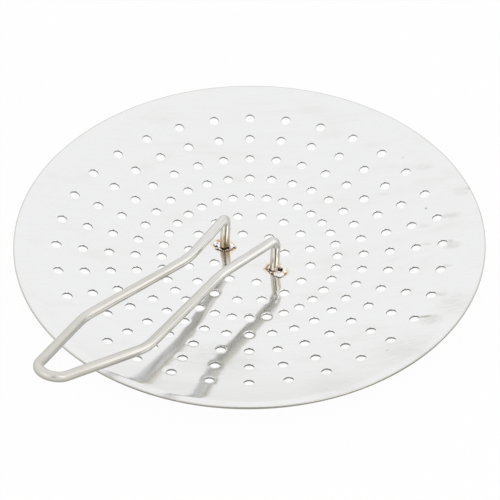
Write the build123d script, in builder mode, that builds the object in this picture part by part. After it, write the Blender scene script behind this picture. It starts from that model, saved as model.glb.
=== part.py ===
from build123d import *

import os
from math import asin, cos, degrees, radians, sin

# Perforated strainer disc: a dished round sheet of stainless steel with rings of punched
# holes, and one bent wire handle whose two feet are welded inside the dish.
# Millimetres. The origin is the centre of the underside, where the disc stands. The dish
# opens upwards along +Z, and the handle runs out over the rim towards -Y.

# Sheet: a small flat in the middle, a shallow dish round it and a narrow land at the rim
disc_radius = 152.4
sheet = 1.5
flat_radius = 20.0
dish_radius = 452.0
dish_sweep = 16.3
land_slope = 2.5
land_bend_radius = 8.0

# Holes: rings of equal holes, all of them starting under the handle
hole_diameter = 6.35
ring_counts = [8, 16, 32, 32, 32, 32, 32]
first_ring_radius = 23.3
ring_step = 16.95
punch_clearance = 1.0
handle_direction = -90.0

# Wire handle: each bend's distance out from the disc's centre, its height above the flat
# and its half width, measured to the corner that the bend rounds off
wire_radius = 3.175
foot = (0.3, 0.0, 19.6)
shoulder = (-2.1, 24.7, 19.35)
waist = (50.2, 31.8, 12.8)
knee = (145.5, 52.1, 23.6)
tip = (251.2, 86.5, 0.0)
shoulder_bend = 6.0
waist_bend = 70.0
knee_bend = 45.0
tip_bend = 10.3
foot_trim = 2.0

# Weld beads: a collar round each foot, a lump inside it and a button over the hole outside
collar_reach = 1.2
collar_height = 1.5
lump_place = 15.9
lump_radius = 3.4
lump_height = 1.7
button_radius = 5.6
button_height = 2.0
crater_place = 24.6
crater_radius = 1.3
root_gap = 0.3


def dish_place(radius):
    """Height of the dish's inner face at a radius, and the sheet's tilt there in degrees."""
    tilt = asin(max(radius - flat_radius, 0.0) / dish_radius)
    return sheet + dish_radius * (1 - cos(tilt)), degrees(tilt)


def wire_point(bend, side):
    """One bend of the handle on its left (-1) or right (1) wire, in the disc's frame."""
    distance, height, half_width = bend
    return Vector(side * half_width, -distance, sheet + height)


# Dished sheet, turned from its section in one piece
with BuildPart() as perforated_plate:
    with BuildSketch(Plane.XZ):
        with BuildLine():
            flat = Line((0, 0), (flat_radius, 0))
            dish = JernArc(flat @ 1, flat % 1, dish_radius + sheet, dish_sweep)
            turn = JernArc(dish @ 1, dish % 1, land_bend_radius, land_slope - dish_sweep)
            land_width = disc_radius - (turn @ 1).X
            land = PolarLine(turn @ 1, land_width / cos(radians(land_slope)), land_slope)
            offset(amount=sheet, side=Side.LEFT, closed=True)
        make_face()
    revolve(axis=Axis.Z)

    # Rings of holes, each punched square to the sheet
    for ring, count in enumerate(ring_counts):
        ring_radius = first_ring_radius + ring * ring_step
        height, tilt = dish_place(ring_radius)
        lift = punch_clearance * sin(radians(tilt))
        with PolarLocations(0, count, start_angle=handle_direction):
            with Locations(Location((ring_radius - lift, 0, height + punch_clearance), (0, -tilt, 0))):
                Hole(hole_diameter / 2, depth=sheet + 2 * punch_clearance)

# Wire handle: one round wire, bent from foot to foot through the tip of the loop
right_side = [wire_point(bend, 1) for bend in (foot, shoulder, waist, knee)]
left_side = [wire_point(bend, -1) for bend in (knee, waist, shoulder, foot)]
side_bends = [shoulder_bend, waist_bend, knee_bend]

with BuildPart() as wire_handle:
    with BuildLine() as wire_path:
        right_start = right_side[0] + (right_side[0] - right_side[1]).normalized() * foot_trim
        left_end = left_side[-1] + (left_side[-1] - left_side[-2]).normalized() * foot_trim
        FilletPolyline(
            right_start,
            *right_side[1:],
            wire_point(tip, 0),
            *left_side[:-1],
            left_end,
            radius=side_bends + [tip_bend] + side_bends[::-1],
        )
    with BuildSketch(Plane(wire_path.line @ 0, z_dir=wire_path.line % 0)):
        Circle(wire_radius)
    sweep()
    # Both feet are cut level, to stand on the flat of the dish
    split(bisect_by=Plane.XY.offset(sheet), keep=Keep.TOP)


# Weld beads: the filler runs round each foot and closes the hole just outside it
right_foot = wire_point(foot, 1)
on_top = (Align.CENTER, Align.CENTER, Align.MIN)

with BuildPart() as right_weld:
    # Collar round the foot, the lump on its inner side and the button on its outer side
    with Locations(right_foot):
        Cylinder(wire_radius + collar_reach, collar_height, align=on_top)
    with Locations((lump_place, right_foot.Y, sheet + lump_height - lump_radius)):
        Sphere(lump_radius)
    with Locations((first_ring_radius, 0, sheet + button_height - button_radius)):
        Sphere(button_radius)
    split(bisect_by=Plane.XY.offset(sheet), keep=Keep.TOP)
    # Filler in the hole, which stops short of the underside
    with Locations((first_ring_radius, 0, root_gap)):
        Cylinder(hole_diameter / 2, sheet - root_gap, align=on_top)
    # Crater where the arc stopped
    with Locations((crater_place, 0, sheet + button_height)):
        Sphere(crater_radius, mode=Mode.SUBTRACT)
    add(wire_handle.part, mode=Mode.SUBTRACT)

with BuildPart() as left_weld:
    mirror(right_weld.part, about=Plane.YZ)

os.makedirs("parts", exist_ok=True)
perforated_plate.part.label = "perforated_plate"
export_step(perforated_plate.part, "parts/perforated_plate.step")
wire_handle.part.label = "wire_handle"
export_step(wire_handle.part, "parts/wire_handle.step")
left_weld.part.label = "left_weld"
export_step(left_weld.part, "parts/left_weld.step")
right_weld.part.label = "right_weld"
export_step(right_weld.part, "parts/right_weld.step")
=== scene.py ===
import bpy
import bmesh
import math
from mathutils import Matrix, Vector, noise


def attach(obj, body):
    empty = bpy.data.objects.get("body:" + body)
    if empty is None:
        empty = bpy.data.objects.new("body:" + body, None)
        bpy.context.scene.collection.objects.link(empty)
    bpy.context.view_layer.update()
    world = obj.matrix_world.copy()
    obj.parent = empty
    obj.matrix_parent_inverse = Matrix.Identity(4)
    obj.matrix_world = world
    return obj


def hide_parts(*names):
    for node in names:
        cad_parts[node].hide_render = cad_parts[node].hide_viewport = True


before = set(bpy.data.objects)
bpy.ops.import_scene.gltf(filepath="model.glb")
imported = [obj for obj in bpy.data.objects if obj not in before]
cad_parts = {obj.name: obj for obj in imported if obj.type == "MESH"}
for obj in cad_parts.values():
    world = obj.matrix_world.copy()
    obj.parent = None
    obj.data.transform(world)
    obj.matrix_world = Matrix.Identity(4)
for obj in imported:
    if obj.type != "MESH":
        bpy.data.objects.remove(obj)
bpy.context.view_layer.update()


# Camera
# It looks down into the dish over the near wire of the handle, from where the picture was
# taken. The distance and the long lens come from the perspective of the hole rings.
view_azimuth = math.radians(34.23)
view_elevation = math.radians(43.02)
view_roll = math.radians(0.49)
view_distance = 1.795
lens_pixels = 2770.5
frame_pixels = 500.0
aim_height = 0.0138
aim_pixel = (249.43, 243.78)

camera_data = bpy.data.cameras.new("camera")
camera_data.sensor_width = 36.0
camera_data.lens = lens_pixels / frame_pixels * camera_data.sensor_width
camera_data.shift_x = (frame_pixels / 2 - aim_pixel[0]) / frame_pixels
camera_data.shift_y = (aim_pixel[1] - frame_pixels / 2) / frame_pixels
camera_data.clip_end = 20.0
camera = bpy.data.objects.new("camera", camera_data)
bpy.context.scene.collection.objects.link(camera)
back = Vector((
    math.sin(view_azimuth) * math.cos(view_elevation),
    -math.cos(view_azimuth) * math.cos(view_elevation),
    math.sin(view_elevation),
))
turn = back.to_track_quat("Z", "Y").to_matrix().to_4x4() @ Matrix.Rotation(-view_roll, 4, "Z")
camera.matrix_world = Matrix.Translation(Vector((0, 0, aim_height)) + back * view_distance) @ turn
bpy.context.scene.camera = camera


# Light and floor
# A plain white room lights the steel from all round. It is a little brighter across from
# the camera and dark in a narrow strip behind it, with soft lamps on either side.
bpy.context.scene.view_settings.view_transform = "Standard"
white = (1.0, 1.0, 1.0, 1.0)
room_bright = (1.10, 1.105, 1.11, 1.0)
bright_edges = (0.0, 0.8)
room_low = (0.99, 0.99, 0.98, 1.0)
low_heights = (0.12, 0.5)
strip_dark = (0.04, 0.04, 0.035, 1.0)
strip_edges = (0.975, 0.993)
strip_bottom = (0.30, 0.48)
strip_top = (0.75, 0.95)
# Each lamp: its angle round from the camera's side and its elevation in degrees, its width
# and height in metres, and its brightness
soft_lamps = {
    "side_lamp": (99, 15, 1.25, 1.5, 0.45),
    "right_lamp": (43, 36, 0.85, 0.8, 1.45),
    "left_lamp": (-45, 36, 1.5, 0.8, 0.6),
}
lamp_distance = 2.0
floor_size = 12.0
floor_level = -0.0001
floor_paint = (0.76, 0.76, 0.75, 1.0)
floor_glow_seen = 0.97
floor_glow_mirrored = 0.15


def add_node(tree, kind, inputs=None, **settings):
    """Adds a shader node with its settings and its inputs, fixed or linked."""
    node = tree.nodes.new(kind)
    for name, value in settings.items():
        setattr(node, name, value)
    for socket, value in (inputs or {}).items():
        if isinstance(value, bpy.types.NodeSocket):
            tree.links.new(value, node.inputs[socket])
        else:
            node.inputs[socket].default_value = value
    return node


def smooth_range(tree, value, low, high, to_low=0.0, to_high=1.0):
    """A smooth step of a value from one level to another."""
    step = add_node(tree, "ShaderNodeMapRange", {
        "Value": value, "From Min": low, "From Max": high, "To Min": to_low, "To Max": to_high
    }, interpolation_type="SMOOTHSTEP")
    return step.outputs[0]


def maths(tree, operation, first, second=0.0):
    """One sum of two values."""
    return add_node(tree, "ShaderNodeMath", {0: first, 1: second}, operation=operation).outputs[0]


def vector_maths(tree, operation, first, second=(0, 0, 0), output="Vector"):
    """One sum of two vectors."""
    inputs = {0: first, 1: second}
    return add_node(tree, "ShaderNodeVectorMath", inputs, operation=operation).outputs[output]


def vector_part(tree, vector, axis):
    """The X, Y or Z part of a vector."""
    return add_node(tree, "ShaderNodeSeparateXYZ", {0: vector}).outputs[axis]


def blend(tree, factor, first, second, blend_type="MIX"):
    """Two colours mixed by a factor."""
    mixer = add_node(tree, "ShaderNodeMix", data_type="RGBA", blend_type=blend_type)
    for name, value in (("Factor_Float", factor), ("A_Color", first), ("B_Color", second)):
        socket = next(s for s in mixer.inputs if s.identifier == name)
        if isinstance(value, bpy.types.NodeSocket):
            tree.links.new(value, socket)
        else:
            socket.default_value = value
    return next(s for s in mixer.outputs if s.identifier == "Result_Color")


room = bpy.data.worlds.new("room")
bpy.context.scene.world = room
room.use_nodes = True
tree = room.node_tree
tree.nodes.clear()
direction = add_node(tree, "ShaderNodeTexCoord").outputs["Generated"]
level = vector_maths(tree, "MULTIPLY", direction, (1, 1, 0))
level = vector_maths(tree, "NORMALIZE", level)
camera_side = (math.sin(view_azimuth), -math.cos(view_azimuth), 0)
toward_camera = vector_maths(tree, "DOT_PRODUCT", level, camera_side, "Value")
strip = smooth_range(tree, toward_camera, *strip_edges)
up = vector_part(tree, direction, "Z")
strip = maths(tree, "MULTIPLY", strip, smooth_range(tree, up, *strip_bottom))
strip = maths(tree, "MULTIPLY", strip, smooth_range(tree, up, *strip_top, 1.0, 0.0))
away = maths(tree, "MULTIPLY", toward_camera, -1.0)
far_side = smooth_range(tree, away, *bright_edges)
low_down = smooth_range(tree, up, *low_heights, 1.0, 0.0)
room_colour = blend(tree, far_side, white, room_bright)
room_colour = blend(tree, low_down, room_colour, room_low)
room_colour = blend(tree, strip, room_colour, strip_dark)
room_light = add_node(tree, "ShaderNodeBackground", {"Color": room_colour})
white_light = add_node(tree, "ShaderNodeBackground", {"Color": white})
ray = add_node(tree, "ShaderNodeLightPath")
pick = add_node(tree, "ShaderNodeMixShader", {
    0: ray.outputs["Is Camera Ray"], 1: room_light.outputs[0], 2: white_light.outputs[0]
})
add_node(tree, "ShaderNodeOutputWorld", {0: pick.outputs[0]})

for name, (azimuth, elevation, width, height, brightness) in soft_lamps.items():
    lamp_data = bpy.data.lights.new(name, "AREA")
    lamp_data.shape = "RECTANGLE"
    lamp_data.size = width
    lamp_data.size_y = height
    lamp_data.energy = brightness * math.pi * width * height
    lamp = bpy.data.objects.new(name, lamp_data)
    bpy.context.scene.collection.objects.link(lamp)
    turned = view_azimuth + math.radians(azimuth)
    rise = math.radians(elevation)
    place = Vector((
        math.sin(turned) * math.cos(rise), -math.cos(turned) * math.cos(rise), math.sin(rise)
    ))
    facing_dish = place.to_track_quat("Z", "Y").to_matrix().to_4x4()
    lamp.matrix_world = Matrix.Translation(place * lamp_distance) @ facing_dish
    lamp.visible_camera = False

bpy.ops.object.select_all(action="DESELECT")
bpy.ops.mesh.primitive_plane_add(size=floor_size, location=(0, 0, floor_level))
floor = bpy.context.object
floor.name = "floor"
floor_material = bpy.data.materials.new("white_board")
floor_material.use_nodes = True
tree = floor_material.node_tree
tree.nodes.clear()
matt = add_node(tree, "ShaderNodeBsdfDiffuse", {"Color": floor_paint})
glow = add_node(tree, "ShaderNodeEmission", {"Color": white})
ray = add_node(tree, "ShaderNodeLightPath")
seen = maths(tree, "MULTIPLY", ray.outputs["Is Camera Ray"], floor_glow_seen)
mirrored = maths(tree, "MULTIPLY", ray.outputs["Is Glossy Ray"], floor_glow_mirrored)
part_glow = maths(tree, "MAXIMUM", seen, mirrored)
mix = add_node(tree, "ShaderNodeMixShader", {
    0: part_glow, 1: matt.outputs[0], 2: glow.outputs[0]
})
add_node(tree, "ShaderNodeOutputMaterial", {0: mix.outputs[0]})
floor.data.materials.append(floor_material)


# Dished sheet
# One round sheet of bright rolled stainless steel. It is punched flat with rings of equal
# holes, one of each ring under the handle, and then pressed to a shallow dish with a
# narrow land at the rim.
mm = 0.001
sheet = 1.5 * mm
disc_radius = 152.4 * mm
flat_radius = 20.0 * mm
dish_radius = 452.0 * mm
dish_sweep = math.radians(16.3)
land_slope = math.radians(2.5)
land_bend = 8.0 * mm
hole_radius = 3.175 * mm
ring_counts = [8, 16, 32, 32, 32, 32, 32]
first_ring = 23.3 * mm
ring_step = 16.95 * mm
rim_segments = 256
side_segments = 8
tile_shares = (0.12, 0.4, 0.7, 1.0)
margin_steps, bend_steps, land_steps = 4, 3, 2
merge_distance = 0.02 * mm
edge_round = 0.15 * mm
edge_angle = math.radians(50)
smooth_angle = math.radians(30)
roll_over = 0.06 * mm
wave_height = 0.06 * mm
wave_scale = 30.0
calm_radii = (35.0 * mm, 80.0 * mm)
wall_slope = 0.5

dish_edge = flat_radius + dish_radius * math.sin(dish_sweep)
bend_edge = dish_edge + (land_bend - sheet) * (math.sin(dish_sweep) - math.sin(land_slope))


def dish_height(radius):
    """Height of the inner face of the sheet above the floor at a distance from the middle."""
    if radius <= flat_radius:
        return sheet
    if radius <= dish_edge:
        return sheet + dish_radius - math.sqrt(dish_radius ** 2 - (radius - flat_radius) ** 2)
    edge_height = sheet + dish_radius * (1 - math.cos(dish_sweep))
    bend = land_bend - sheet
    if radius <= bend_edge:
        sine = math.sin(dish_sweep) - (radius - dish_edge) / bend
        return edge_height + bend * (math.sqrt(1 - sine ** 2) - math.cos(dish_sweep))
    bend_height = edge_height + bend * (math.cos(land_slope) - math.cos(dish_sweep))
    return bend_height + (radius - bend_edge) * math.tan(land_slope)


def deselect_all():
    """Leaves no object selected or active."""
    bpy.ops.object.select_all(action="DESELECT")
    bpy.context.view_layer.objects.active = None


def select_only(piece):
    """Makes one object the selected and active one."""
    deselect_all()
    piece.select_set(True)
    bpy.context.view_layer.objects.active = piece


def settle(piece):
    """Moves an object's place and turn into its mesh."""
    piece.data.transform(piece.matrix_world)
    piece.matrix_world = Matrix.Identity(4)


def join_all(parts, name):
    """Joins objects into the first of them and gives it a name."""
    deselect_all()
    for part in parts:
        part.select_set(True)
    bpy.context.view_layer.objects.active = parts[0]
    bpy.ops.object.join()
    parts[0].name = name
    return parts[0]


def apply_modifier(piece, kind, **settings):
    """Gives an object a modifier with its settings and applies it."""
    modifier = piece.modifiers.new(kind.lower(), kind)
    for name, value in settings.items():
        setattr(modifier, name, value)
    select_only(piece)
    bpy.ops.object.modifier_apply(modifier=modifier.name)


def tile_border(ring_radius, count):
    """Points round one hole's share of its ring, all of them on the rim segments' rays."""
    half_angle = math.pi / count
    arc_segments = rim_segments // count
    low = ring_radius - ring_step / 2
    high = ring_radius + ring_step / 2
    border = []
    for i in range(arc_segments):
        border.append((high, half_angle * (2 * i / arc_segments - 1)))
    for i in range(side_segments):
        border.append((high + (low - high) * i / side_segments, half_angle))
    for i in range(arc_segments):
        border.append((low, half_angle * (1 - 2 * i / arc_segments)))
    for i in range(side_segments):
        border.append((low + (high - low) * i / side_segments, -half_angle))
    return [
        Vector((radius * math.cos(angle), radius * math.sin(angle), 0)) for radius, angle in border
    ]


def ring_of_holes(ring_radius, count):
    """One ring of the blank: a tile drawn out from its hole and copied round the middle."""
    border = tile_border(ring_radius, count)
    middle = Vector((ring_radius, 0, 0))
    edge = [middle + (place - middle).normalized() * hole_radius for place in border]
    loop = edge
    deselect_all()
    bpy.ops.mesh.primitive_circle_add(vertices=len(border), radius=hole_radius)
    ring = bpy.context.object
    # The punch draws the edge of the hole down a little
    for vertex, place in zip(ring.data.vertices, edge):
        vertex.co = place - Vector((0, 0, roll_over))
    bpy.ops.object.mode_set(mode="EDIT")
    bpy.ops.mesh.select_all(action="SELECT")
    for share in tile_shares:
        bpy.ops.mesh.extrude_edges_move()
        shape = bmesh.from_edit_mesh(ring.data)
        for vertex in shape.verts:
            if vertex.select:
                i = min(range(len(loop)), key=lambda k: (loop[k] - vertex.co).length_squared)
                vertex.co = edge[i].lerp(border[i], share)
        loop = [edge[i].lerp(border[i], share) for i in range(len(border))]
        bmesh.update_edit_mesh(ring.data)
    bpy.ops.mesh.select_all(action="SELECT")
    bpy.ops.mesh.spin(
        steps=count - 1,
        dupli=True,
        angle=2 * math.pi * (count - 1) / count,
        center=(0, 0, 0),
        axis=(0, 0, 1),
    )
    bpy.ops.object.mode_set(mode="OBJECT")
    return ring


def plain_band(radii):
    """A band of the blank with no holes, as rings of faces between the radii."""
    deselect_all()
    bpy.ops.mesh.primitive_circle_add(vertices=rim_segments, radius=radii[0])
    band = bpy.context.object
    bpy.ops.object.mode_set(mode="EDIT")
    for inner, outer in zip(radii, radii[1:]):
        bpy.ops.mesh.extrude_edges_move()
        bpy.ops.transform.resize(value=(outer / inner, outer / inner, 1))
    bpy.ops.object.mode_set(mode="OBJECT")
    # The circle starts on +Y, and the tiles start on +X
    band.data.transform(Matrix.Rotation(-math.pi / 2, 4, "Z"))
    return band


first_border = first_ring - ring_step / 2
last_border = first_ring + ring_step * (len(ring_counts) - 0.5)
deselect_all()
bpy.ops.mesh.primitive_circle_add(
    vertices=rim_segments, radius=first_border, fill_type="TRIFAN", rotation=(0, 0, -math.pi / 2)
)
middle_disc = bpy.context.object
settle(middle_disc)
margin_radii = [last_border]
for inner, outer, steps in (
    (last_border, dish_edge, margin_steps),
    (dish_edge, bend_edge, bend_steps),
    (bend_edge, disc_radius, land_steps),
):
    margin_radii += [inner + (outer - inner) * step / steps for step in range(1, steps + 1)]

blank = [
    ring_of_holes(first_ring + ring * ring_step, count) for ring, count in enumerate(ring_counts)
]
plate = join_all([plain_band(margin_radii), middle_disc] + blank, "dished_sheet")
bpy.ops.object.mode_set(mode="EDIT")
bpy.ops.mesh.select_all(action="SELECT")
bpy.ops.mesh.remove_doubles(threshold=merge_distance)
bpy.ops.mesh.normals_make_consistent(inside=False)
bpy.ops.object.mode_set(mode="OBJECT")
plate.data.transform(Matrix.Rotation(-math.pi / 2, 4, "Z"))
if plate.data.polygons[0].normal.z < 0:
    plate.data.flip_normals()
for vertex in plate.data.vertices:
    # The pressing leaves the bright sheet very slightly wavy, except near its middle
    radius = math.hypot(vertex.co.x, vertex.co.y)
    calm = (radius - calm_radii[0]) / (calm_radii[1] - calm_radii[0])
    wave = noise.noise(vertex.co.xy.to_3d() * wave_scale) * wave_height * min(1.0, max(0.0, calm))
    vertex.co.z += dish_height(radius) + wave

apply_modifier(plate, "SOLIDIFY", thickness=sheet, offset=-1, use_even_offset=True)
apply_modifier(
    plate, "BEVEL", width=edge_round, segments=1, limit_method="ANGLE", angle_limit=edge_angle
)
bpy.ops.object.shade_smooth_by_angle(angle=smooth_angle)

sheet_grey = (0.785, 0.785, 0.783, 1)
sheet_smudge = (0.60, 0.60, 0.53, 1)
roll_angle = math.radians(36)
# The marks of each pattern of the rolled face: their size along the rolling and across it in
# millimetres, then the levels of the noise where they start and are full, and their strength
fine_grain_size, fine_grain_levels = (30, 0.35), (0.4, 0.8, 0.0, 0.08)
broad_grain_size, broad_grain_levels = (45, 2.4), (0.3, 0.8, 0.0, 0.07)
cloud_size, cloud_levels = (38, 15), (0.5, 0.8, 0.0, 0.16)
# Smears of polish, most of them dragged out of the holes at the right, a few specks and some
# broad dim areas: place, half length, half width, all in millimetres, and how dark
smears = [
    (92.5, 91.2, 5.5, 2.4, 0.45), (97, 94, 9, 4, 0.30), (107.5, 72.6, 3.2, 2.2, 0.65),
    (111, 70, 8, 5, 0.38), (128.8, 3.4, 4.0, 2.0, 0.9), (134, 6, 8.5, 2.2, 0.5),
    (136, 2, 11, 6, 0.32), (128, 27, 6, 3, 0.35), (118, 52, 5, 1.8, 0.45),
    (84.3, 79, 7, 3.5, 0.2), (95, 65.5, 6, 2, 0.25), (57, 124, 10, 4, 0.22),
    (44, 93, 8, 1.8, 0.25), (94.5, 119, 4, 2.2, 0.45), (92, 114, 8, 5, 0.22),
    (40, -94, 36, 24, 0.22), (39.5, 125.4, 1.0, 1.0, 1.0), (77.2, 93.1, 1.1, 1.3, 1.2),
    (126.4, -34.9, 1.3, 1.2, 0.7), (60, 92.4, 0.9, 0.9, 0.5), (136, -30, 30, 24, 0.16),
    (118, -82, 26, 18, 0.15), (142, 22, 18, 18, 0.2), (131.5, 4.5, 3.5, 2.2, 0.6),
]
smear_angle = math.radians(28)
smear_grey = (0.40, 0.40, 0.34, 1)
smear_core = 0.15
smear_depth = 1000
smear_break_size, smear_break_levels = (7, 1.6), (0.3, 0.7, 0.35, 1.0)
# Distances from the middle in millimetres where the land and the dull edge of the rim begin
land_edges = (148.0, 149.4)
rim_edges = (151.3, 152.2)
# Painted shade along the outer edge of the rim, on top of its duller steel
rim_painted_shade_grey = (0.74, 0.72, 0.68, 1)
# The heat ring: its middle, its stretch along X, Y and Z, the scale and detail of its noise,
# and how far in or out that noise moves its edge
weld_middle = 20.3
heat_oval = (1.0, 1.4, 1.0)
heat_noise = (260.0, 2.0)
heat_waver = (0.2, 0.8, -1.4 * mm, 2.0 * mm)
heat_brown = (0.40, 0.30, 0.22, 1)
# Each later colour of the heat ring, and the distances in millimetres between which it comes
heat_steps = [
    ((0.86, 0.68, 0.48, 1), (6.9, 7.6)),
    ((0.93, 0.84, 0.70, 1), (7.6, 8.3)),
    (white, (8.3, 10.0)),
]
sheet_roughness = 0.05
grain_roughness = 0.05
smear_roughness = 0.12
land_roughness = 0.13
# Strength and depth of the bumps
grain_bump = (0.06, 0.05 * mm)


def length_range(tree, value, edges, to_low=0.0, to_high=1.0):
    """A smooth step of a length between two edges, which are in millimetres."""
    return smooth_range(tree, value, edges[0] * mm, edges[1] * mm, to_low, to_high)


def tinted(tree, colour, amount, tint):
    """A colour multiplied by a tint, as much as the amount from 0 to 1 says."""
    return blend(tree, 1.0, colour, blend(tree, amount, white, tint), "MULTIPLY")


def even_noise(tree, place, scale, detail):
    """Noise that is the same in all directions, with its scale and detail."""
    return add_node(tree, "ShaderNodeTexNoise", {
        "Vector": place, "Scale": scale, "Detail": detail
    }).outputs["Fac"]


def stretched_noise(tree, place, angle, along, across):
    """Noise drawn out along one direction, with the size of its marks in millimetres."""
    turned = add_node(tree, "ShaderNodeMapping", {
        "Vector": place,
        "Rotation": (0, 0, angle),
        "Scale": (along * mm, across * mm, across * mm),
    }, vector_type="TEXTURE")
    return even_noise(tree, turned.outputs[0], scale=1.0, detail=3.0)


def spot(tree, place, middle, half_length, half_width, angle):
    """A soft oval mark, 1 in its middle and 0 at its edge, in millimetres."""
    oval = add_node(tree, "ShaderNodeMapping", {
        "Vector": place,
        "Location": (middle[0] * mm, middle[1] * mm, 0),
        "Rotation": (0, 0, angle),
        "Scale": (half_length * mm, half_width * mm, smear_depth),
    }, vector_type="TEXTURE")
    reach = vector_maths(tree, "LENGTH", oval.outputs[0], output="Value")
    return smooth_range(tree, reach, smear_core, 1.0, to_low=1.0, to_high=0.0)


def distance_from_axis(tree, place):
    """How far a point of the disc is from its middle axis."""
    level_place = vector_maths(tree, "MULTIPLY", place, (1, 1, 0))
    return vector_maths(tree, "LENGTH", level_place, output="Value")


def new_steel(name):
    """A new metal material, with its node tree, its shader and its coordinates."""
    material = bpy.data.materials.new(name)
    material.use_nodes = True
    tree = material.node_tree
    shader = tree.nodes["Principled BSDF"]
    shader.inputs["Metallic"].default_value = 1.0
    return material, tree, shader, add_node(tree, "ShaderNodeTexCoord").outputs["Object"]


def add_bumps(tree, shader, height, strength, depth):
    """Fine bumps in the normal of a shader."""
    bump = add_node(tree, "ShaderNodeBump", {
        "Height": height, "Strength": strength, "Distance": depth
    })
    tree.links.new(bump.outputs[0], shader.inputs["Normal"])


rolled, tree, shader, place = new_steel("rolled_sheet_steel")
fine_grain = stretched_noise(tree, place, roll_angle, *fine_grain_size)
broad_grain = stretched_noise(tree, place, roll_angle, *broad_grain_size)
cloud = stretched_noise(tree, place, roll_angle, *cloud_size)
colour = sheet_grey
for pattern, levels in (
    (broad_grain, broad_grain_levels), (fine_grain, fine_grain_levels), (cloud, cloud_levels)
):
    colour = blend(tree, smooth_range(tree, pattern, *levels), colour, sheet_smudge)
marks = 0.0
for x, y, half_length, half_width, dark in smears:
    mark = spot(tree, place, (x, y), half_length, half_width, smear_angle)
    marks = maths(tree, "ADD", maths(tree, "MULTIPLY", mark, dark), marks)
breaks = stretched_noise(tree, place, roll_angle, *smear_break_size)
marks = maths(tree, "MULTIPLY", marks, smooth_range(tree, breaks, *smear_break_levels))
colour = blend(tree, marks, colour, smear_grey)
# The edge of the rim is duller than the dish, and it is also painted darker: painted shade
# standing in for its edge, which the shears turned over a little
from_axis = distance_from_axis(tree, place)
colour = tinted(tree, colour, length_range(tree, from_axis, rim_edges), rim_painted_shade_grey)
# Heat of the weld leaves a straw and brown ring round each foot
mirrored_place = vector_maths(tree, "ABSOLUTE", place)
from_weld = vector_maths(tree, "ADD", mirrored_place, (-weld_middle * mm, 0, -sheet))
from_weld = vector_maths(tree, "MULTIPLY", from_weld, heat_oval)
from_weld = vector_maths(tree, "LENGTH", from_weld, output="Value")
waver = smooth_range(tree, even_noise(tree, place, *heat_noise), *heat_waver)
from_weld = maths(tree, "ADD", from_weld, waver)
heat = heat_brown
for heat_colour, edges in heat_steps:
    heat = blend(tree, length_range(tree, from_weld, edges), heat, heat_colour)
colour = blend(tree, 1.0, colour, heat, "MULTIPLY")
tree.links.new(colour, shader.inputs["Base Color"])
# The grain, the smears and the land at the rim are rougher than the bright dish
roughness = maths(tree, "MULTIPLY", fine_grain, grain_roughness)
roughness = maths(tree, "ADD", roughness, sheet_roughness)
roughness = maths(tree, "ADD", roughness, maths(tree, "MULTIPLY", marks, smear_roughness))
on_land = length_range(tree, from_axis, land_edges)
roughness = maths(tree, "ADD", roughness, maths(tree, "MULTIPLY", on_land, land_roughness))
tree.links.new(roughness, shader.inputs["Roughness"])
add_bumps(tree, shader, fine_grain, *grain_bump)
plate.data.materials.append(rolled)

# The walls of the holes and the rim are sheared, so they are duller than the rolled faces. Their
# greys are also darkened as painted shade, standing in for the shadowed floor under the sheet that
# the walls mirror.
# The wall of the rim carries painted light: it is painted a little brighter on the left.
# Both sheared greys hold the steel's own dullness and painted shade
sheared_dull_shaded_dark = (0.37, 0.365, 0.34, 1)
sheared_dull_shaded_light = (0.60, 0.595, 0.56, 1)
sheared_noise = (1800.0, 3.0)
sheared_roughness = 0.38
sheared_bump = (0.4, 0.08 * mm)
rim_wall_painted_shade = (0.38, 0.365, 0.335, 1)
rim_wall_painted_light = (0.64, 0.62, 0.58, 1)
painted_light_edges = (-45.0, 5.0)

sheared, tree, shader, place = new_steel("sheared_edge_steel")
scuff = even_noise(tree, place, *sheared_noise)
colour = blend(tree, scuff, sheared_dull_shaded_dark, sheared_dull_shaded_light)
# Painted light: the rim wall's colour gets lighter towards the left
painted_light_left = length_range(tree, vector_part(tree, place, "X"), painted_light_edges, 1.0, 0.0)
rim_wall_with_painted_light = blend(tree, painted_light_left, rim_wall_painted_shade, rim_wall_painted_light)
at_rim = length_range(tree, distance_from_axis(tree, place), rim_edges)
colour = blend(tree, at_rim, colour, rim_wall_with_painted_light)
tree.links.new(colour, shader.inputs["Base Color"])
shader.inputs["Roughness"].default_value = sheared_roughness
add_bumps(tree, shader, scuff, *sheared_bump)
plate.data.materials.append(sheared)
for face in plate.data.polygons:
    if abs(face.normal.z) < wall_slope:
        face.material_index = 1
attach(plate, "root")
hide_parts("perforated_plate")


# Wire handle
# One length of quarter-inch drawn stainless wire. It is bent cold from foot to foot, with
# a tight bend over each foot, two easy bends along each side and a round end.
wire_radius = 3.175 * mm
# Each bend's distance out from the middle, height above the flat and half width, in
# millimetres, measured to the corner that the bend rounds off
foot = (0.3, 0.0, 19.6)
shoulder = (-2.1, 24.7, 19.35)
waist = (50.2, 31.8, 12.8)
knee = (145.5, 52.1, 23.6)
tip = (251.2, 86.5, 0.0)
side_radii = [6.0 * mm, 70.0 * mm, 45.0 * mm]
tip_radius = 10.3 * mm
wire_sides = 40
bend_step = math.radians(6)
least_bend_steps = 4
run_step = 12.0 * mm
wire_smooth_angle = math.radians(40)


def wire_point(bend, side):
    """A bend of the handle on its left (-1) or right (1) wire."""
    distance, height, half_width = bend
    return Vector((side * half_width, -distance, height)) * mm + Vector((0, 0, sheet))


corners = [wire_point(bend, 1) for bend in (foot, shoulder, waist, knee)]
corners += [wire_point(tip, 0)]
corners += [wire_point(bend, -1) for bend in (knee, waist, shoulder, foot)]
radii = side_radii + [tip_radius] + side_radii[::-1]

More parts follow.
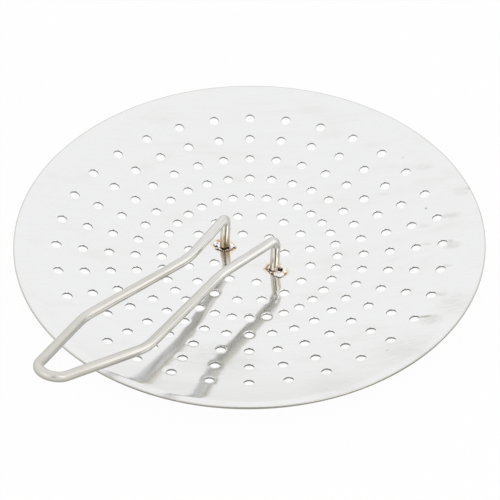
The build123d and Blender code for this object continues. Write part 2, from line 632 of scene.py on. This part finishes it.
deselect_all()
first_run = (corners[1] - corners[0]).normalized()
bpy.ops.mesh.primitive_circle_add(
    vertices=wire_sides,
    radius=wire_radius,
    fill_type="NGON",
    location=corners[0],
    rotation=first_run.to_track_quat("Z", "Y").to_euler(),
)
wire = bpy.context.object
wire.name = "bent_wire"
settle(wire)
bpy.ops.object.mode_set(mode="EDIT")
bpy.ops.mesh.select_all(action="SELECT")
here = corners[0]
for corner, before, after, radius in zip(corners[1:], corners, corners[2:], radii):
    run_in = (corner - before).normalized()
    run_out = (after - corner).normalized()
    angle = run_in.angle(run_out)
    setback = radius * math.tan(angle / 2)
    start = corner - run_in * setback
    run_steps = max(1, round((start - here).length / run_step))
    for _ in range(run_steps):
        move = (start - here) / run_steps
        bpy.ops.mesh.extrude_region_move(TRANSFORM_OT_translate={"value": move})
    axis = run_in.cross(run_out).normalized()
    centre = start + axis.cross(run_in).normalized() * radius
    steps = max(least_bend_steps, round(angle / bend_step))
    # With no window, a spin turns the other way
    bpy.ops.mesh.spin(steps=steps, angle=-angle, center=centre, axis=axis)
    here = corner + run_out * setback
bpy.ops.mesh.extrude_region_move(TRANSFORM_OT_translate={"value": corners[-1] - here})
bpy.ops.object.mode_set(mode="OBJECT")

# Each ring of points follows the one before it, so the drawing lines can follow the wire
line_place = wire.data.attributes.new("line_place", "FLOAT_VECTOR", "POINT")
travelled = 0.0
last_middle = corners[0]
for first in range(0, len(wire.data.vertices), wire_sides):
    ring_points = range(first, first + wire_sides)
    middle = sum((wire.data.vertices[i].co for i in ring_points), Vector()) / wire_sides
    travelled += (middle - last_middle).length
    last_middle = middle
    for i in ring_points:
        around = 2 * math.pi * (i - first) / wire_sides
        line_place.data[i].vector = (
            wire_radius * math.cos(around), wire_radius * math.sin(around), travelled
        )
select_only(wire)
bpy.ops.object.mode_set(mode="EDIT")
bpy.ops.mesh.select_all(action="SELECT")
bpy.ops.mesh.normals_make_consistent(inside=False)
bpy.ops.object.mode_set(mode="OBJECT")
bpy.ops.object.shade_smooth_by_angle(angle=wire_smooth_angle)

wire_grey = (0.708, 0.698, 0.677, 1)
wire_dark = (0.465, 0.455, 0.425, 1)
# Painted shade for the flanks of the wire
wire_flank_painted_shade = (0.50, 0.485, 0.44, 1)
# Painted shade for the top of the grip and a painted highlight for its underside
wire_grip_painted_shade = (0.94, 0.93, 0.895, 1)
wire_below_painted_highlight = (0.84, 0.85, 0.85, 1)
wire_tan = (1.07, 1.0, 0.86, 1)
wire_amber = (0.62, 0.53, 0.43, 1)
wire_burnt = (0.42, 0.31, 0.22, 1)
# The marks of each pattern of the wire: their size across it and along it in millimetres and
# the noise's detail, then the levels where they start and are full, and their strength
fine_line_size, fine_line_levels = (0.22, 24, 3.0), (0.4, 0.75, 0.0, 0.55)
broad_line_size, broad_line_levels = (0.85, 60, 2.0), (0.48, 0.68, 0.0, 0.5)
scuff_size, scuff_levels = (1.6, 5.0, 4.0), (0.62, 0.8, 0.0, 0.35)
# Tilts at which a face stops being top, flank or underside, as the upward part of its normal
flank_shade_tops = (-0.04, 0.20)
flank_shade_bottoms = (-0.55, -0.25)
below_tilts = (-0.62, -0.35)
# Distances out from the middle in millimetres: end of the foot, start of the grip, knee, end
foot_reach = (2.0, 16.0)
grip_reach = (48.0, 72.0)
knee_reach = (122.0, 142.0)
worn_reach = (172.0, 202.0)
painted_highlight_past_knee = 0.35
# Heights of the heat colours above the floor in millimetres
tan_heights = (4.0, 30.0)
amber_heights = (5.0, 15.0)
burnt_heights = (2.4, 5.5)
burnt_waver = (0.3, 0.7, -1.2 * mm, 1.2 * mm)
burnt_strength = 0.8
right_burnt_drop = 1.2 * mm
line_roughness = (0.3, 0.8, 0.075, 0.15)
worn_roughness = 0.3
scuff_relief = 0.6
wire_bump = (0.12, 0.04 * mm)

wire_steel, tree, shader, place = new_steel("drawn_wire_steel")
along_wire = add_node(tree, "ShaderNodeAttribute", attribute_name="line_place").outputs["Vector"]


def drawn_noise(tree, across, along, detail):
    """Noise drawn out along the wire, with the size of its marks in millimetres."""
    stretched = add_node(tree, "ShaderNodeMapping", {
        "Vector": along_wire, "Scale": (across * mm, across * mm, along * mm)
    }, vector_type="TEXTURE")
    return even_noise(tree, stretched.outputs[0], scale=1.0, detail=detail)


fine_lines = drawn_noise(tree, *fine_line_size)
broad_lines = drawn_noise(tree, *broad_line_size)
scuffs = drawn_noise(tree, *scuff_size)
colour = wire_grey
for pattern, levels in (
    (fine_lines, fine_line_levels), (broad_lines, broad_line_levels), (scuffs, scuff_levels)
):
    colour = blend(tree, smooth_range(tree, pattern, *levels), colour, wire_dark)
height = vector_part(tree, place, "Z")
distance_out = maths(tree, "MULTIPLY", vector_part(tree, place, "Y"), -1.0)
at_foot = length_range(tree, distance_out, foot_reach, 1.0, 0.0)
# Away from the feet, the flanks of the wire are painted darker by the tilt of their normal:
# painted shade for their dark lower edge
facing = vector_part(tree, add_node(tree, "ShaderNodeTexCoord").outputs["Normal"], "Z")
painted_flank_shade = smooth_range(tree, facing, *flank_shade_tops, 1.0, 0.0)
painted_flank_shade = maths(tree, "MULTIPLY", painted_flank_shade, smooth_range(tree, facing, *flank_shade_bottoms))
painted_flank_shade = maths(tree, "MULTIPLY", painted_flank_shade, maths(tree, "SUBTRACT", 1.0, at_foot))
colour = blend(tree, painted_flank_shade, colour, wire_flank_painted_shade)
# The top of the grip is painted darker and warmer as painted shade, and its underside is painted
# brighter as a painted highlight, most of all before the knee.
at_grip = length_range(tree, distance_out, grip_reach)
above = smooth_range(tree, facing, *below_tilts)
painted_highlight_below = maths(tree, "MULTIPLY", at_grip, maths(tree, "SUBTRACT", 1.0, above))
before_knee = length_range(tree, distance_out, knee_reach, 1.0, painted_highlight_past_knee)
painted_highlight_below = maths(tree, "MULTIPLY", painted_highlight_below, before_knee)
colour = blend(tree, painted_highlight_below, colour, wire_below_painted_highlight)
colour = tinted(tree, colour, maths(tree, "MULTIPLY", at_grip, above), wire_grip_painted_shade)
# Straw colour from the weld's heat climbs the feet, and they are burnt at the bead. The left
# foot took more heat than the right one, so it is amber too and burnt further up.
tan = maths(tree, "MULTIPLY", length_range(tree, height, tan_heights, 1.0, 0.0), at_foot)
colour = tinted(tree, colour, tan, wire_tan)
on_left = smooth_range(tree, vector_part(tree, place, "X"), -mm, mm, 1.0, 0.0)
amber = length_range(tree, height, amber_heights, 1.0, 0.0)
amber = maths(tree, "MULTIPLY", maths(tree, "MULTIPLY", amber, at_foot), on_left)
colour = tinted(tree, colour, amber, wire_amber)
burnt_edge = maths(tree, "ADD", height, smooth_range(tree, scuffs, *burnt_waver))
on_right = maths(tree, "SUBTRACT", 1.0, on_left)
burnt_edge = maths(tree, "ADD", burnt_edge, maths(tree, "MULTIPLY", on_right, right_burnt_drop))
burnt = length_range(tree, burnt_edge, burnt_heights, burnt_strength, 0.0)
colour = blend(tree, burnt, colour, wire_burnt)
tree.links.new(colour, shader.inputs["Base Color"])
# The round end is rubbed dull by use
worn = length_range(tree, distance_out, worn_reach, 0.0, worn_roughness)
roughness = maths(tree, "ADD", smooth_range(tree, broad_lines, *line_roughness), worn)
tree.links.new(roughness, shader.inputs["Roughness"])
relief = maths(tree, "ADD", fine_lines, maths(tree, "MULTIPLY", scuffs, scuff_relief))
add_bumps(tree, shader, relief, *wire_bump)
wire.data.materials.append(wire_steel)
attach(wire, "root")
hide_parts("wire_handle")


# Weld beads
# Two beads of stainless filler that join the feet of the wire to the dish. Each runs round
# its foot and over the hole beside it, and it is lumpy, with dark seams and heat colours.
# Place of the right foot on the disc, to the right and to the back
foot_place = (foot[2] * mm, -foot[0] * mm)
collar_gap = 0.3 * mm
collar_thickness = 1.2 * mm
drop_cut = 0.2 * mm
plug_radius = 3.2 * mm
plug_bottom = 0.3 * mm
plug_top = sheet + 0.4 * mm
bead_voxel = 0.19 * mm
# Lumps on the surface come from noise, which is shifted by side so that the beads differ.
# They and the pit grow from nothing at the sheet's face to full at the height of lump_fade.
lump_height = 0.25 * mm
lump_size = 2.2 * mm
lump_shift = 7.0
lump_fade = 0.8 * mm
# Each drop of filler: its place from the disc's centre, outwards and towards the back, its
# height above the sheet and its three half sizes, in millimetres
right_drops = [
    (23.3, 0.0, 0.0, 4.2, 4.2, 0.8), (22.8, 3.4, 0.5, 1.9, 1.6, 1.6),
    (25.2, 2.6, 0.5, 1.7, 1.6, 1.6), (26.6, 0.5, 0.5, 1.6, 1.9, 1.7),
    (26.6, -1.9, 0.5, 1.7, 1.8, 1.8), (25.6, -3.9, 0.4, 2.1, 1.6, 1.7),
    (23.3, -4.3, 0.4, 2.0, 1.5, 1.6), (20.2, -4.2, 0.0, 2.2, 1.5, 0.75),
    (15.6, -0.8, 0.4, 1.9, 2.3, 1.4), (16.8, -3.0, 0.0, 1.8, 1.4, 0.8),
    (18.8, 3.6, 0.1, 2.6, 1.4, 1.0),
]
left_drops = [
    (23.3, 0.0, 0.2, 4.2, 4.0, 1.3), (22.9, -3.6, 0.5, 2.2, 1.8, 1.7),
    (25.3, -1.4, 0.5, 2.0, 2.1, 1.8), (24.6, 1.8, 0.4, 2.0, 1.8, 1.4),
    (21.6, -5.2, 0.2, 1.8, 1.2, 1.1), (19.6, -4.2, 0.0, 2.2, 1.3, 0.7),
    (16.6, -2.6, 0.0, 2.0, 1.6, 0.7), (16.2, 2.2, 0.5, 1.9, 1.9, 1.7),
    (13.8, 2.8, 0.0, 1.6, 1.1, 0.9), (15.0, 0.2, 0.0, 1.6, 1.8, 0.8),
    (20.6, 3.8, 0.1, 2.4, 1.4, 1.0),
]
# Pit where the arc stopped, on the right bead only
pit_place = (first_ring + 0.1 * mm, 0.8 * mm)
pit_radius = 1.9 * mm
pit_depth = 1.9 * mm


def weld_bead(name, side, drops, pit):
    """One bead: drops of filler run together over the filled hole and round the foot."""
    deselect_all()
    bpy.ops.mesh.primitive_torus_add(
        location=(side * foot_place[0], foot_place[1], sheet),
        major_radius=wire_radius + collar_gap,
        minor_radius=collar_thickness,
        major_segments=32,
        minor_segments=12,
    )
    parts = [bpy.context.object]
    for out, to_back, rise, half_x, half_y, half_z in drops:
        bpy.ops.mesh.primitive_uv_sphere_add(
            segments=24,
            ring_count=12,
            radius=mm,
            location=(side * out * mm, to_back * mm, sheet + rise * mm),
            scale=(half_x, half_y, half_z),
        )
        parts.append(bpy.context.object)
    bead = join_all(parts, name)
    settle(bead)
    # The drops lie on the sheet, so their undersides are cut off just under its face
    bpy.ops.object.mode_set(mode="EDIT")
    bpy.ops.mesh.select_all(action="SELECT")
    bpy.ops.mesh.bisect(
        plane_co=(0, 0, sheet - drop_cut), plane_no=(0, 0, 1), clear_inner=True, use_fill=True
    )
    bpy.ops.object.mode_set(mode="OBJECT")
    deselect_all()
    bpy.ops.mesh.primitive_cylinder_add(
        vertices=48,
        radius=plug_radius,
        depth=plug_top - plug_bottom,
        location=(side * first_ring, 0, (plug_top + plug_bottom) / 2),
    )
    plug = bpy.context.object
    settle(plug)
    bead = join_all([bead, plug], name)
    apply_modifier(bead, "REMESH", mode="VOXEL", voxel_size=bead_voxel)
    apply_modifier(bead, "SMOOTH", factor=0.5, iterations=5)
    for vertex in bead.data.vertices:
        if vertex.co.z > sheet:
            share = min(1.0, (vertex.co.z - sheet) / lump_fade)
            shift = Vector((side * lump_shift, 0, 0))
            lump = noise.noise(vertex.co / lump_size + shift)
            vertex.co += vertex.normal * lump * lump_height * share
            if pit:
                out = math.hypot(vertex.co.x - side * pit[0], vertex.co.y - pit[1]) / pit_radius
                if out < 1:
                    vertex.co.z -= pit_depth * (1 - out ** 2) ** 2 * share
    select_only(bead)
    bpy.ops.object.shade_smooth()
    return bead


weld_bright = (0.88, 0.875, 0.87, 1)
weld_brown = (0.15, 0.095, 0.065, 1)
weld_orange = (0.80, 0.47, 0.26, 1)
weld_blue = (0.42, 0.46, 0.56, 1)
tint_noise, tint_levels = (300.0, 2.0), (0.58, 0.70)
patch_noise, patch_levels = (480.0, 3.0), (0.58, 0.70, 0.0, 0.6)
seam_waver = (0.3, 0.7, -0.35 * mm, 0.35 * mm)
seam_heights = (1.75, 2.35)
weld_roughness = (0.3, 0.7, 0.08, 0.20)
ripple_noise = (1500.0, 2.0)
ripple_bump = (0.15, 0.06 * mm)

weld_metal, tree, shader, place = new_steel("weld_filler_steel")
tints = even_noise(tree, place, *tint_noise)
patches = even_noise(tree, place, *patch_noise)
colour = blend(tree, smooth_range(tree, tints, *tint_levels), weld_bright, weld_orange)
colour = blend(tree, smooth_range(tree, patches, *patch_levels), colour, weld_blue)
# The edges of the bead and its seams are burnt brown
height = vector_part(tree, place, "Z")
seam = maths(tree, "ADD", height, smooth_range(tree, patches, *seam_waver))
colour = blend(tree, length_range(tree, seam, seam_heights, 1.0, 0.0), colour, weld_brown)
tree.links.new(colour, shader.inputs["Base Color"])
tree.links.new(smooth_range(tree, tints, *weld_roughness), shader.inputs["Roughness"])
add_bumps(tree, shader, even_noise(tree, place, *ripple_noise), *ripple_bump)

beads = (
    ("right_bead", "right_weld", 1, right_drops, pit_place),
    ("left_bead", "left_weld", -1, left_drops, None),
)
for name, node_name, side, drops, pit in beads:
    bead = weld_bead(name, side, drops, pit)
    bead.data.materials.append(weld_metal)
    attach(bead, "root")
    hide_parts(node_name)
